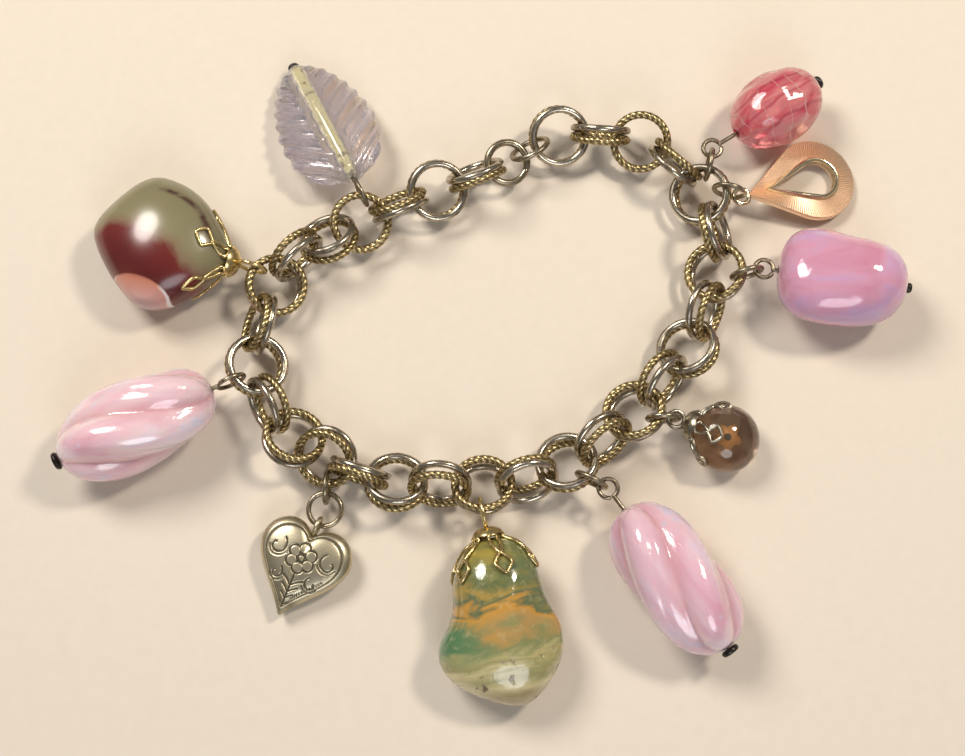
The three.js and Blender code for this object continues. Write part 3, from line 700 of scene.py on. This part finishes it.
crackle_glass, tree, shader, place = glossy(
    "crackle_glass", Roughness=0.07, IOR=1.5, Transmission_Weight=0.55, Subsurface_Weight=0.3,
    Subsurface_Scale=2.5 * MM, Subsurface_Radius=(1.0, 0.3, 0.35), Coat_Weight=0.7, Coat_Roughness=0.04)
along_streaks = narrowed(tree, noise(tree, stretched(tree, place, (0.09, 0.5, 0.5)), 1.0, 3, 0.7), 0.36, 0.66)
coral = mixed(tree, along_streaks, (0.84, 0.12, 0.19, 1), (0.97, 0.47, 0.46, 1))
split = shader_node(tree, "ShaderNodeSeparateXYZ", {"Vector": place}).outputs
bend = times(tree, noise(tree, place, 0.22, 2), 5.0)
arcs = calculated(tree, "SINE", times(tree, calculated(tree, "ADD", split["X"], bend), 2.3))
arcs = times(tree, narrowed(tree, arcs, 0.95, 1.0, 0, 0.75), narrowed(tree, noise(
    tree, place, 0.45, 2), 0.42, 0.56))
creases = calculated(tree, "SINE", times(tree, calculated(
    tree, "MULTIPLY_ADD", bend, 0.35, split["Y"]), 2.6))
coral = mixed(tree, narrowed(tree, creases, 0.8, 1.0, 0, 0.6), coral, (0.55, 0.04, 0.10, 1))
feed(tree, mixed(tree, arcs, coral, (1.0, 0.74, 0.68, 1)), shader, "Base Color")
bumped(tree, shader, calculated(tree, "SUBTRACT", arcs, creases), 0.1, 0.6)
smooth_bead("crackle", CRACKLE_AXES, crackle_shape, crackle_glass, 0.95)

# -------------------- stones and their bell caps
# Two tumbled pebbles and a small clear ball are glued into bell caps. A cap is stamped from thin gilt
# sheet as a flower: a dome with a ring on its crown, and prongs of pierced diamonds bent over the stone.
CAP_RADIUS = 2.1
CAP_HEIGHT = 1.1
CAP_EYE = 1.1
PRONG_WIRE = 0.24
DOME_PROFILE = [(0.25, 1.05), (0.45, 1.0), (0.7, 0.78), (0.88, 0.5), (1.0, 0.1), (1.02, 0.0), (0.9, -0.05)]


def smooth_row(row, place):
    """Evenly spaced values joined by a smooth curve that goes through each of them (Catmull-Rom)."""
    row = np.array([2 * row[0] - row[1], *row, 2 * row[-1] - row[-2]], float)
    at = np.clip(place, 0, 1) * (len(row) - 3)
    start = np.minimum(at.astype(int), len(row) - 4)
    t = at - start
    a, b, c, d = (row[start + step] for step in range(4))
    return b + 0.5 * t * (c - a + t * (2 * a - 5 * b + 4 * c - d + t * (3 * (b - c) + d - a)))


def pebble_shape(stone, place, angle, lift=0.0):
    """A tumbled stone: its reach to each side is read off a row of widths, its section is squared off a
    little, and its underside is worn to a slope that lies level. A facet takes off all that stands beyond
    a plane. `lift` stands off its skin."""
    reach = barrel(place, stone["end_power"])
    c, s = np.cos(angle), np.sin(angle)
    squared = (np.abs(c) ** stone["power"] + np.abs(s) ** stone["power"]) ** (-1 / stone["power"])
    width = np.where(c > 0, smooth_row(stone["left"], place), smooth_row(stone["right"], place))
    y, z = reach * width * squared * c, reach * stone["above"] * squared * s
    if "facet" in stone:
        (slope_y, slope_z), limit = stone["facet"]
        over = np.maximum(0, slope_y * y + slope_z * z - limit)
        y, z = y - slope_y * over, z - slope_z * over
    grow = 1 + lift / np.maximum(np.hypot(y, z), 0.3)
    return y * grow, np.maximum(place * stone["rise"] - stone["below"], z * grow)


def pebble(name, stone, axes, cap_node, node, coat, slot, count=90, sides=110):
    """Makes a stone and gives the low corner of its length and the line of its cap."""
    low, high = extent(node, axes)
    cap_low, cap_high = extent(cap_node, axes)
    line = (cap_low[1:] + cap_high[1:]) / 2
    length = high[0] - low[0]
    place = (1 - np.cos(np.linspace(0.05, np.pi - 0.05, count)))[:, None] / 2
    angle = np.linspace(0, 2 * np.pi, sides, endpoint=False)[None, :]
    y, z = pebble_shape(stone, place, angle)
    own = np.stack([place * length + 0 * angle, y, z], -1)
    piece(name, [skin((own + [low[0], *line]) @ axes, place=own)], [coat], slot, node)
    return low[0], length, line


def bell_cap(name, stone, axes, start, length, line, node, coat, eye, stands, prongs, reach, first=0.0):
    """Makes a cap: a dome, an eye on its crown, and prongs. Each prong is two pierced diamonds of thin
    wire, a small one and a big one, whose corners follow the stone's skin."""
    profile = np.array(DOME_PROFILE)
    seat = start - 0.3
    dome = lathe(seat - profile[:, 1] * CAP_HEIGHT, profile[:, 0] * CAP_RADIUS, 30, *line)
    centre = np.array([seat - CAP_HEIGHT - eye, *line])
    eye_axis = np.array([0.0, 1.0, 0.0]) if stands else UP
    path = circle(centre, eye_axis, eye, 36)
    skins = [skin(dome @ axes), skin(tube(path, PIN_WIRE, eye_axis, True) @ axes, True)]
    for prong in range(prongs):
        middle = first + 2 * np.pi * prong / prongs
        for near, far, width in ((-0.15, 0.5, 1.1), (0.4, 1.0, 2.1)):
            turn = np.linspace(0, 2 * np.pi, 28, endpoint=False)
            ahead = (near + far) / 2 - (far - near) / np.pi * np.arcsin(0.98 * np.cos(turn))
            aside = width / np.pi * np.arcsin(0.98 * np.sin(turn))
            x = np.maximum(ahead * reach, -0.2)
            place = np.clip(x / length, 0.004, 1)
            around = middle + aside / np.maximum(1.0, np.hypot(*pebble_shape(stone, place, middle)))
            y, z = pebble_shape(stone, place, around, 0.2)
            flare = np.maximum(1, (CAP_RADIUS - 0.1) / np.maximum(np.hypot(y, z), 0.1))
            outline = np.stack([start + x, line[0] + y * flare, line[1] + z * flare], -1)
            steady = np.array([0, np.cos(middle), np.sin(middle)])
            skins.append(skin(tube(outline, PRONG_WIRE, steady, True, 8) @ axes, True))
    return piece(name, skins, [coat], "cap_metal", node)


gilt_cap = metal("gilt_cap", (0.74, 0.58, 0.28), (0.14, 0.09, 0.03), patches=0.4, polish=0.2)
dark_cap = metal("dark_cap", (0.42, 0.38, 0.3), (0.04, 0.03, 0.02), patches=0.6, polish=0.2)

# Agate: a rounded lozenge, grey-olive and half clear at the top with a thin brown arc, and deep red below.
AGATE_AXES = charm_axes(lie=165, dip=3)
AGATE = {"left": [6, 8.5, 9.2, 7.6, 5], "right": [6, 8, 9, 9.6, 6], "above": 5.3, "below": 5.1,
         "power": 2.2, "end_power": 1.9, "rise": 19.5 * np.tan(np.radians(3)), "facet": ((0.57, 0.82), 6.7)}
AGATE_ARC = 8.1
agate_coat, tree, shader, place = glossy(
    "agate", Roughness=0.24, IOR=1.54, Transmission_Weight=0.12, Subsurface_Weight=0.3,
    Subsurface_Scale=2.5 * MM, Subsurface_Radius=(1.0, 0.6, 0.35), Coat_Weight=0.3, Coat_Roughness=0.12)
split = shader_node(tree, "ShaderNodeSeparateXYZ", {"Vector": place}).outputs
ripple = noise(tree, place, 0.28, 5, 0.6)
hill = times(tree, calculated(
    tree, "POWER", calculated(tree, "SUBTRACT", split["X"], 12.5), 2.0), -0.045)
drift = calculated(tree, "MULTIPLY_ADD", ripple, 5.0, calculated(tree, "ADD", split["Y"], hill))
bands = ramped(tree, narrowed(tree, drift, -8, 11), [
    (0.0, 0.20, 0.18, 0.10), (0.4, 0.27, 0.24, 0.13), (0.5, 0.26, 0.18, 0.11), (0.58, 0.17, 0.02, 0.015),
    (0.76, 0.12, 0.012, 0.012), (1.0, 0.16, 0.03, 0.02)])
arc = calculated(tree, "POWER", calculated(tree, "ADD", calculated(tree, "POWER", calculated(
    tree, "SUBTRACT", split["X"], 10.0), 2.0), calculated(tree, "POWER", calculated(
        tree, "ADD", split["Y"], -1.5), 2.0)), 0.5)
off_arc = calculated(tree, "ABSOLUTE", calculated(tree, "SUBTRACT", arc, AGATE_ARC))
ring_line = narrowed(tree, off_arc, 0.08, 0.6, 1, 0)
upper = times(tree, narrowed(tree, split["Y"], -0.5, -2.0), narrowed(tree, split["X"], 11.5, 10.0))
broken = narrowed(tree, noise(tree, place, 0.8, 3), 0.4, 0.56, 0.25, 1)
specks = times(tree, times(tree, ring_line, upper), broken)
in_x = calculated(tree, "POWER", calculated(tree, "MULTIPLY_ADD", split["X"], 0.21, -2.15), 2.0)
in_y = calculated(tree, "POWER", calculated(tree, "MULTIPLY_ADD", split["Y"], 0.46, -3.65), 2.0)
from_facet = calculated(tree, "MULTIPLY_ADD", ripple, 0.3, calculated(tree, "ADD", in_x, in_y))
salmon = ramped(tree, calculated(tree, "MULTIPLY_ADD", split["Y"], 0.25, -1.35), [
    (0.0, 0.40, 0.10, 0.06), (0.25, 0.66, 0.27, 0.18), (0.7, 0.70, 0.40, 0.36), (1.0, 0.50, 0.36, 0.40)])
# Painted highlights: a thin near-white line along the facet's edge, on its left and right.
painted_facet_glints = times(tree, narrowed(tree, in_x, 0.35, 0.75), narrowed(tree, calculated(
    tree, "ABSOLUTE", calculated(tree, "SUBTRACT", from_facet, 0.98)), 0.14, 0.05))
faceted = mixed(tree, narrowed(tree, from_facet, 1.15, 0.95), bands, salmon)
faceted = mixed(tree, painted_facet_glints, faceted, (0.92, 0.88, 0.86, 1))
feed(tree, mixed(tree, specks, faceted, (0.07, 0.025, 0.02, 1)), shader, "Base Color")
agate_fit = pebble("agate_pebble", AGATE, AGATE_AXES, "agate_bell_cap", "agate_stone", agate_coat, "agate")
bell_cap("agate_cap", AGATE, AGATE_AXES, *agate_fit, "agate_bell_cap", gilt_cap, LONG_EYE, True, 5, 4.4, 0.6)

# Jasper: green at the cap, an orange band across the middle, teal at one side and cream below, with brown
# pits along its lower edge.
JASPER_AXES = charm_axes(lie=-78, dip=4)
JASPER = {"left": [6.5, 6.2, 5.9, 7, 6.8, 4.7], "right": [6.5, 6.5, 6.7, 9.4, 9.4, 6], "above": 5.3,
          "below": 5.1, "power": 2.3, "end_power": 2.3, "rise": 21.6 * np.tan(np.radians(4)),
          "facet": ((0.5, 0.87), 5.2)}
jasper_coat, tree, shader, place = glossy(
    "jasper", Roughness=0.16, IOR=1.54, Subsurface_Weight=0.06, Subsurface_Scale=1.5 * MM,
    Subsurface_Radius=(1.0, 0.7, 0.4), Coat_Weight=0.7, Coat_Roughness=0.06)
split = shader_node(tree, "ShaderNodeSeparateXYZ", {"Vector": place}).outputs
smear = noise(tree, stretched(tree, place, (0.42, 0.13, 0.2)), 1.0, 5, 0.7)
slope = calculated(tree, "MULTIPLY_ADD", split["Y"], -0.12, split["X"])
across = calculated(tree, "MULTIPLY_ADD", calculated(tree, "SUBTRACT", smear, 0.5), 9.0, slope)
layers = ramped(tree, narrowed(tree, across, 0, 21.5), [
    (0.0, 0.14, 0.15, 0.05), (0.1, 0.36, 0.28, 0.05), (0.24, 0.12, 0.15, 0.06), (0.33, 0.38, 0.26, 0.06),
    (0.39, 0.10, 0.14, 0.07), (0.45, 0.54, 0.28, 0.05), (0.53, 0.42, 0.27, 0.09), (0.6, 0.22, 0.24, 0.10),
    (0.68, 0.44, 0.38, 0.17), (0.76, 0.30, 0.28, 0.12), (0.84, 0.60, 0.52, 0.28), (1.0, 0.36, 0.28, 0.14)])
middle_band = times(tree, narrowed(tree, across, 9.5, 12), narrowed(tree, across, 16, 13))
teal_side = times(tree, narrowed(tree, split["Y"], -1.5, -6.5), middle_band)
green_side = times(tree, narrowed(tree, split["Y"], 0.5, 3.5), narrowed(tree, across, 9, 6))
layers = mixed(tree, times(tree, green_side, 0.8), layers, (0.13, 0.17, 0.07, 1))
teal = mixed(tree, teal_side, layers, (0.09, 0.20, 0.09, 1))
mottle = narrowed(tree, noise(tree, place, 1.1, 5, 0.4), 0.55, 0.75)
mottled = mixed(tree, times(tree, mottle, 0.3), teal, (0.60, 0.52, 0.30, 1))
pits = times(tree, narrowed(tree, noise(tree, place, 0.75, 3), 0.62, 0.7),
                  narrowed(tree, split["X"], 13, 19))
feed(tree, mixed(tree, pits, mottled, (0.12, 0.07, 0.04, 1)), shader, "Base Color")
bumped(tree, shader, calculated(tree, "SUBTRACT", noise(tree, place, 0.4, 3), pits), 0.25, 0.6)
jasper_fit = pebble(
    "jasper_pebble", JASPER, JASPER_AXES, "jasper_bell_cap", "jasper_stone", jasper_coat, "jasper")
bell_cap("jasper_cap", JASPER, JASPER_AXES, *jasper_fit, "jasper_bell_cap", gilt_cap, LONG_EYE, True, 6,
         5.0, 0.3)

# Clear ball: smoky glass, flattened, with a small orange star of painted foil sealed in its middle.
CLEAR_AXES = charm_axes(lie=-20, dip=6)
CLEAR = {"left": [4.6, 4.6], "right": [4.6, 4.6], "above": 3.7, "below": 3.7, "power": 2.0,
         "end_power": 2.0, "rise": 9.2 * np.tan(np.radians(6))}
STAR_RADIUS = 1.6
STAR_THICK = 0.3
clear_coat, tree, shader, place = glossy(
    "smoky_glass", Roughness=0.04, IOR=1.46, Transmission_Weight=0.93, Coat_Weight=0.4, Coat_Roughness=0.03)
cloudy = narrowed(tree, noise(tree, place, 0.3, 2, 0.8), 0.42, 0.58)
feed(tree, mixed(tree, cloudy, (0.66, 0.52, 0.36, 1), (0.42, 0.29, 0.20, 1)), shader, "Base Color")
clear_fit = pebble("clear_ball", CLEAR, CLEAR_AXES, "clear_bell_cap", "clear_bead", clear_coat,
                   "smoky_glass", 60, 72)
bell_cap("clear_cap", CLEAR, CLEAR_AXES, *clear_fit, "clear_bell_cap", dark_cap, CAP_EYE, False, 5, 3.4, 0.5)
star_turn = np.linspace(0, 2 * np.pi, 60, endpoint=False)[None, :]
star_level = np.array([0.15, 0.85, 1.0, 0.85, 0.15])[:, None]
star_height = np.array([1.0, 0.9, 0.0, -0.9, -1.0])[:, None] * STAR_THICK / 2
star_reach = STAR_RADIUS * star_level * (0.86 + 0.14 * np.cos(5 * star_turn))
star = np.stack([clear_fit[0] + 0.5 * clear_fit[1] + star_reach * np.cos(star_turn),
                 clear_fit[2][0] + star_reach * np.sin(star_turn),
                 clear_fit[2][1] + 0.6 + star_height + 0 * star_turn], -1)
star_own = np.stack([star_reach * np.cos(star_turn), star_reach * np.sin(star_turn), 0 * star_reach], -1)
star_coat, tree, shader, place = glossy("star_foil", Roughness=0.35)
from_middle = shader_node(tree, "ShaderNodeVectorMath", {0: place}, operation="LENGTH").outputs["Value"]
feed(tree, ramped(tree, narrowed(tree, from_middle, 0, STAR_RADIUS), [
    (0.0, 0.02, 0.01, 0.005), (0.22, 0.03, 0.012, 0.006), (0.3, 0.72, 0.36, 0.08), (1.0, 0.50, 0.24, 0.05)]),
     shader, "Base Color")
piece("clear_star", [skin(star @ CLEAR_AXES, place=star_own)], [star_coat], "smoky_glass", "clear_bead")

# -------------------- puffed heart
# A hollow heart of silvery brass, pressed in two halves and soldered round its edge. The front is
# engraved with a six-petalled flower, scrolls on both sides, leaves to the tip and a stitched edge, and
# old polish has left the cuts dark.
HEART_AXES = charm_axes(lie=-113, dip=5)
HEART_WIDTH = 12.5
HEART_HEIGHT = 12.3
HEART_THICK = 3.9
HEART_MIDDLE = 0.05 * HEART_HEIGHT
HEART_TIP = 16 / 26 * HEART_HEIGHT
BAIL_WIRE = 0.3
BAIL_RADIUS = 1.15
CUT_DEPTH = 0.16
CUT_WIDTH = 0.11
FLOWER_AT = -0.4
PETALS = 6


def cut(distance, width=CUT_WIDTH):
    """An engraved line's depth from 0 to 1, as a bell curve of the distance to the line."""
    return np.exp(-(distance / width) ** 2)


def engraving(aside, ahead, rim, turn):
    """The heart's cuts, deepest first: petals are circles about the flower's middle, scrolls are spirals,
    leaves branch off a stalk to the tip, and a plain line and short stitches follow the edge."""
    down = ahead - FLOWER_AT
    petal_turn = np.arange(PETALS) * 2 * np.pi / PETALS + np.pi / 6
    petals = np.stack([np.hypot(aside - 1.3 * np.cos(way), down - 1.3 * np.sin(way))
                       for way in petal_turn]).min(0)
    lines = [cut(petals - 0.76), cut(np.hypot(aside, down) - 0.45)]
    for centre_aside, centre_ahead, size in ((3.7, -0.9, 1.05), (2.5, 2.4, 0.72)):
        x, y = np.abs(aside) - centre_aside, ahead - centre_ahead
        angle = np.mod(np.arctan2(y, x) + 0.4 * np.pi, 2 * np.pi)
        spiral = size * (0.28 + 0.2 * angle)
        from_scroll = np.hypot(x, y) - spiral
        lines.append(cut(from_scroll) * (angle < 1.75 * np.pi))
        lines.append(0.8 * cut(from_scroll - 0.42) * (angle > 0.5 * np.pi) * (angle < 1.3 * np.pi))
    lines.append(cut(aside) * (ahead > 1.7) * (ahead < 6.3))
    for start in (3.4, 4.3, 5.2, 6.1):
        leaf = start - 1.15 * np.abs(aside) + 0.3 * aside ** 2
        lines.append(cut((ahead - leaf) * 0.7) * (np.abs(aside) < 0.35 * (7.6 - start)))
    lines.append(0.9 * cut((rim - 0.83) * 6, 0.13))
    ticks = 0.5 + 0.5 * np.cos(110 * turn)
    lines.append(cut((rim - 0.74) * 6, 0.25) * ticks ** 2 * (aside > 0.6) * (ahead > 1.5))
    return np.max(np.stack(lines), 0) * (rim < 0.9)


heart_low, heart_high = extent("heart_charm", HEART_AXES)
heart_line = (heart_low[1:] + heart_high[1:]) / 2
heart_x = heart_high[0] - HEART_TIP
turn = np.linspace(0, 2 * np.pi, 420, endpoint=False)[None, :]
heart_up = (13 * np.cos(turn) - 3.6 * np.cos(2 * turn) - 1.2 * np.cos(3 * turn) - 0.6 * np.cos(4 * turn)) / 26
heart_side = (0.8 * np.sin(turn) ** 3 + 0.2 * np.sin(turn)) * HEART_WIDTH / 2
rim = np.concatenate([np.linspace(0.01, 0.9, 96), 1 - 0.1 * np.linspace(1, 0, 12)[1:] ** 1.6])[:, None]
ahead = HEART_MIDDLE - (heart_up * HEART_HEIGHT + HEART_MIDDLE) * rim
aside = heart_side * rim
puff = HEART_THICK / 2 * (1 - np.clip(rim, 0, 1) ** 2.6) ** (1 / 2.6)
cuts = engraving(aside, ahead, rim + 0 * turn, turn + 0 * rim)
front = np.stack([heart_x + ahead, heart_line[0] + aside, heart_line[1] + puff - CUT_DEPTH * cuts], -1)
back_rows = slice(-2, None, -6)
back = np.stack([heart_x + ahead, heart_line[0] + aside, heart_line[1] - puff + 0 * turn], -1)[back_rows]
heart_groove = np.concatenate([0.92 * cuts, 0 * cuts[back_rows]])
heart_metal = metal("heart_metal", (0.58, 0.52, 0.37), (0.035, 0.028, 0.018), patches=0.6, polish=0.3,
                    patch_scale=260)
bail_x = heart_low[0] + BAIL_RADIUS + BAIL_WIRE
bail = circle(np.array([bail_x, *heart_line]), np.array([0.0, 1.0, 0.0]), BAIL_RADIUS, 32)
stem = np.linspace([bail_x + 1.1, *heart_line], [heart_x - 2.4, *heart_line], 8)
stem, stem_radii = rounded(stem, 0.42)
piece("heart_body", [
    skin(np.concatenate([front, back]) @ HEART_AXES, groove=heart_groove),
    skin(tube(bail, BAIL_WIRE, [0.0, 1.0, 0.0], True) @ HEART_AXES, True),
    skin(tube(stem, stem_radii, UP, False) @ HEART_AXES)], [heart_metal], "heart_metal", "heart_charm")

# -------------------- open teardrop
# A flat teardrop of rosy gilt sheet with a pear-shaped hole. Fine lines are engine-turned from the hole
# out to the edge, and a bright rounded bead is raised round the hole.
PLATE_AXES = charm_axes(lie=17, dip=12)
PLATE_LENGTH = 16.6
PLATE_RADIUS = 5.9
HOLE_START = 3.6
HOLE_RADIUS = 2.5
PLATE_THICK = 0.9
EYE_RADIUS = 1.1
EYE_WIRE = 0.35
TURNED_LINES = 120
LINE_DEPTH = 0.09
RIM_SHARE = 0.2
RIM_RISE = 0.45


def teardrop(tip, round_x, radius, count):
    """Evenly spaced points round a teardrop: two straight sides from the tip to an arc that they touch."""
    lean = np.arccos(radius / (round_x - tip))
    sweep = np.linspace(-(np.pi - lean), np.pi - lean, 200)
    line = np.concatenate([[[tip, 0]], np.stack([
        round_x + radius * np.cos(sweep), radius * np.sin(sweep)], -1), [[tip, 0]]])
    travelled = np.concatenate([[0], np.cumsum(np.linalg.norm(np.diff(line, axis=0), axis=1))])
    at = (np.arange(count) + 0.5) / count * travelled[-1]
    return np.stack([np.interp(at, travelled, line[:, axis]) for axis in range(2)], -1)


plate_low, plate_high = extent("teardrop_plate", PLATE_AXES)
eye_x = plate_low[0] + EYE_RADIUS + EYE_WIRE
plate_line = (plate_low[1:] + plate_high[1:]) / 2
tip_x = eye_x + EYE_RADIUS - 0.2
count = TURNED_LINES * 6
round_x = PLATE_LENGTH - PLATE_RADIUS
edge = teardrop(0, round_x, PLATE_RADIUS, count)[:, None]
hole = teardrop(HOLE_START, round_x + 0.4, HOLE_RADIUS, count)[:, None]
share = np.array([0, 0.03, 0.08, 0.13, 0.17, RIM_SHARE, 0.23, 0.4, 0.6, 0.8, 0.97, 1.0, 1.0, 0.0])
level = np.array([0.3, 0.8, 1, 1, 0.8, 0.3, 0, 0, 0, 0, 0, -0.4, -2, -2])
flat = hole + (edge - hole) * share[None, :, None]
lines = 0.5 + 0.5 * np.cos(2 * np.pi * np.arange(count) / 6)[:, None]
on_field = ((share > RIM_SHARE) & (share < 0.99))[None, :]
height = np.where(level > 0, PLATE_THICK / 2 + RIM_RISE * level, PLATE_THICK / 2 + 0.45 * level)
height = np.where(level <= -2, -PLATE_THICK / 2, height)[None, :] - LINE_DEPTH * lines * on_field
plate = np.stack([tip_x + flat[..., 0], plate_line[0] + flat[..., 1], plate_line[1] + height], -1)
plate_metal = metal("plate_metal", (0.93, 0.70, 0.50), (0.50, 0.30, 0.17), patches=0.1, polish=0.34,
                    bump=0.02)
rim_metal = metal("rim_metal", (0.72, 0.62, 0.42), (0.2, 0.14, 0.07), patches=0.25, polish=0.12)
rim_rows = plate[:, :7]
rim_under = rim_rows.copy()[:, ::-1][:, [0, -1]]
rim_under[..., 2] = plate_line[1] - PLATE_THICK / 4
rim_ring = np.concatenate([rim_rows, rim_under], 1)
rim_ring[..., 2] += 0.02
eye = circle(np.array([eye_x, *plate_line]), UP, EYE_RADIUS, 36)
piece("teardrop_body", [
    skin(plate @ PLATE_AXES, True, groove=0.55 * lines * on_field),
    skin(rim_ring @ PLATE_AXES, True, coat=1),
    skin(tube(eye, EYE_WIRE, UP, True) @ PLATE_AXES, True, coat=1)],
      [plate_metal, rim_metal], "plate_metal", "teardrop_plate", crease=35)
